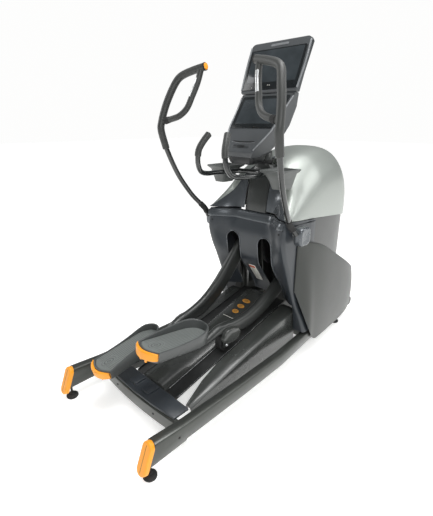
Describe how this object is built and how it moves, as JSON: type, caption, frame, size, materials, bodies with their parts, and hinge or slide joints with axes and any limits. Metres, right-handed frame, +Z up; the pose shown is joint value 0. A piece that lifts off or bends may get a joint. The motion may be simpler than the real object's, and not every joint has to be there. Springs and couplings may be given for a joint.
{
  "type": "elliptical trainer",
  "caption": "Incline-ramp elliptical trainer: rollers under pedal arms, swinging handlebars, front drive housing, two-screen console, levelling feet and transport wheels.",
  "frame": {"origin": "on the floor plane under the centre of the bounding box, midway between the rear orange rail ends and the front transport wheels", "axes": "+Z up; +Y from the rear step-on end towards the front drive housing; +X towards the user's right when standing on the pedals facing the console"},
  "size_m": [0.8742, 2.1556, 1.8954],
  "materials": {
    "orange": "moulded bright orange plastic, semi-gloss",
    "rail_paint": "dark charcoal metallic powder paint, semi-gloss",
    "silver": "silver grey metallic paint with a soft sheen",
    "dark_gloss": "near-black glossy moulding",
    "cover_grey": "dark grey satin plastic with a fine grain",
    "slate": "dark slate satin plastic",
    "rubber": "black rubber",
    "arm_black": "black semi-gloss powder paint",
    "pad_grey": "mid-grey ribbed foot pad",
    "steel": "bright turned steel",
    "iron": "dark machined casting",
    "console_grey": "dark grey satin plastic",
    "screen": "black polished display window and key cap",
    "belt": "black ribbed drive belt"
  },
  "bodies": {
    "frame": {"side_rail_right": "rail_paint", "side_rail_left": "rail_paint", "rail_end_cap_right": "orange", "rail_end_cap_left": "orange", "ramp_side_cover_right": "cover_grey", "ramp_side_cover_left": "cover_grey", "roller_track_right": "arm_black", "roller_track_left": "arm_black", "lower_side_cover_right": "cover_grey", "lower_side_cover_left": "cover_grey", "bottle_holder_right": "cover_grey", "bottle_holder_left": "cover_grey", "rear_cross_member": "rail_paint", "rear_cover": "slate", "base_frame": "rail_paint", "drive_frame": "rail_paint", "ramp_center_cover": "cover_grey", "drive_belt": "belt", "flywheel_belt": "belt", "eddy_brake": "steel", "top_cover": "silver", "rear_shell": "dark_gloss", "front_panel": "slate", "mast": "arm_black", "console_housing": "console_grey", "lower_screen": "screen", "display_frame": "console_grey", "upper_screen": "screen", "stationary_handlebar": "arm_black"},
    "right_carriage": {"roller_axle_right": "steel"},
    "right_arm": {"pedal_arm_right": "arm_black", "pedal_shell_right": "cover_grey", "pedal_pad_right": "pad_grey", "pedal_bumper_right": "orange"},
    "right_roller": {"roller_right": "rubber"},
    "right_handlebar": {"handlebar_right": "arm_black", "pivot_cap_right": "slate", "rocker_shaft_right": "steel"},
    "left_carriage": {"roller_axle_left": "steel"},
    "left_arm": {"pedal_arm_left": "arm_black", "pedal_shell_left": "cover_grey", "pedal_pad_left": "pad_grey", "pedal_bumper_left": "orange"},
    "left_roller": {"roller_left": "rubber"},
    "left_handlebar": {"handlebar_left": "arm_black", "pivot_cap_left": "slate", "rocker_shaft_left": "steel"},
    "crank": {"crank_axle": "steel", "crank_arm_right": "iron", "crank_arm_left": "iron", "drive_pulley": "iron"},
    "step_pulley": {"step_pulley": "iron"},
    "flywheel": {"flywheel": "iron"},
    "rear_foot_right": {"rear_foot_right": "rubber"},
    "front_foot_right": {"front_foot_right": "rubber"},
    "transport_wheel_right": {"transport_wheel_right": "rubber"},
    "rear_foot_left": {"rear_foot_left": "rubber"},
    "front_foot_left": {"front_foot_left": "rubber"},
    "transport_wheel_left": {"transport_wheel_left": "rubber"},
    "console_button": {"console_button": "screen"}
  },
  "joints": [
    {"name": "stride_right", "type": "slide", "parent": "frame", "child": "right_carriage", "axis": [0, 0.9728, 0.2317], "range_m": [-0.195, 0.125]},
    {"name": "stride_left", "type": "slide", "parent": "frame", "child": "left_carriage", "axis": [0, 0.9728, 0.2317], "range_m": [-0.125, 0.195]},
    {"name": "arm_pitch_right", "type": "hinge", "parent": "right_carriage", "child": "right_arm", "pos_m": [0.133, -0.31715, 0.25011], "axis": [1, 0, 0], "range_deg": [-1.5, 19.8]},
    {"name": "arm_pitch_left", "type": "hinge", "parent": "left_carriage", "child": "left_arm", "pos_m": [-0.133, -0.38525, 0.23389], "axis": [1, 0, 0], "range_deg": [-19.8, 1.5]},
    {"name": "roller_spin_right", "type": "hinge", "parent": "right_carriage", "child": "right_roller", "pos_m": [0.133, -0.31715, 0.25011], "axis": [1, 0, 0], "range_deg": [-159.17, 248.3]},
    {"name": "roller_spin_left", "type": "hinge", "parent": "left_carriage", "child": "left_roller", "pos_m": [-0.133, -0.38525, 0.23389], "axis": [1, 0, 0], "range_deg": [-248.3, 159.17]},
    {"name": "handlebar_swing_right", "type": "hinge", "parent": "frame", "child": "right_handlebar", "pos_m": [0.33, 0.0988, 0.855], "axis": [1, 0, 0], "range_deg": [-17.08, 10.95]},
    {"name": "handlebar_swing_left", "type": "hinge", "parent": "frame", "child": "left_handlebar", "pos_m": [-0.33, 0.0988, 0.855], "axis": [1, 0, 0], "range_deg": [-10.95, 17.08]},
    {"name": "crank_spin", "type": "hinge", "parent": "frame", "child": "crank", "pos_m": [0, 0.3678, 0.7], "axis": [1, 0, 0], "continuous": true},
    {"name": "step_pulley_spin", "type": "hinge", "parent": "frame", "child": "step_pulley", "pos_m": [0, 0.6378, 0.8], "axis": [1, 0, 0], "continuous": true},
    {"name": "flywheel_spin", "type": "hinge", "parent": "frame", "child": "flywheel", "pos_m": [0, 0.7778, 0.47], "axis": [1, 0, 0], "continuous": true},
    {"name": "rear_foot_turn_right", "type": "hinge", "parent": "frame", "child": "rear_foot_right", "pos_m": [0.366, -1.0222, 0], "axis": [0, 0, 1], "continuous": true},
    {"name": "front_foot_turn_right", "type": "hinge", "parent": "frame", "child": "front_foot_right", "pos_m": [0.283, 0.7888, 0], "axis": [0, 0, 1], "continuous": true},
    {"name": "transport_wheel_spin_right", "type": "hinge", "parent": "frame", "child": "transport_wheel_right", "pos_m": [0.265, 1.0418, 0.085], "axis": [1, 0, 0], "continuous": true},
    {"name": "rear_foot_turn_left", "type": "hinge", "parent": "frame", "child": "rear_foot_left", "pos_m": [-0.366, -1.0222, 0], "axis": [0, 0, 1], "continuous": true},
    {"name": "front_foot_turn_left", "type": "hinge", "parent": "frame", "child": "front_foot_left", "pos_m": [-0.283, 0.7888, 0], "axis": [0, 0, 1], "continuous": true},
    {"name": "transport_wheel_spin_left", "type": "hinge", "parent": "frame", "child": "transport_wheel_left", "pos_m": [-0.265, 1.0418, 0.085], "axis": [1, 0, 0], "continuous": true},
    {"name": "console_button_press", "type": "slide", "parent": "frame", "child": "console_button", "axis": [0, 0.7706, -0.6373], "range_m": [0, 0.0015], "stiffness_N_per_m": 400}
  ],
  "couplings": [
    {"joint": "stride_left", "follows": "stride_right", "ratio": -1},
    {"joint": "arm_pitch_left", "follows": "arm_pitch_right", "ratio": -1},
    {"joint": "roller_spin_right", "follows": "stride_right", "rad_per_m": -22.222},
    {"joint": "roller_spin_left", "follows": "stride_right", "rad_per_m": 22.222},
    {"joint": "handlebar_swing_right", "follows": "stride_right", "rad_per_m": 1.527},
    {"joint": "handlebar_swing_left", "follows": "stride_right", "rad_per_m": -1.527},
    {"joint": "step_pulley_spin", "follows": "crank_spin", "ratio": 4.857},
    {"joint": "flywheel_spin", "follows": "crank_spin", "ratio": 14.571}
  ]
}
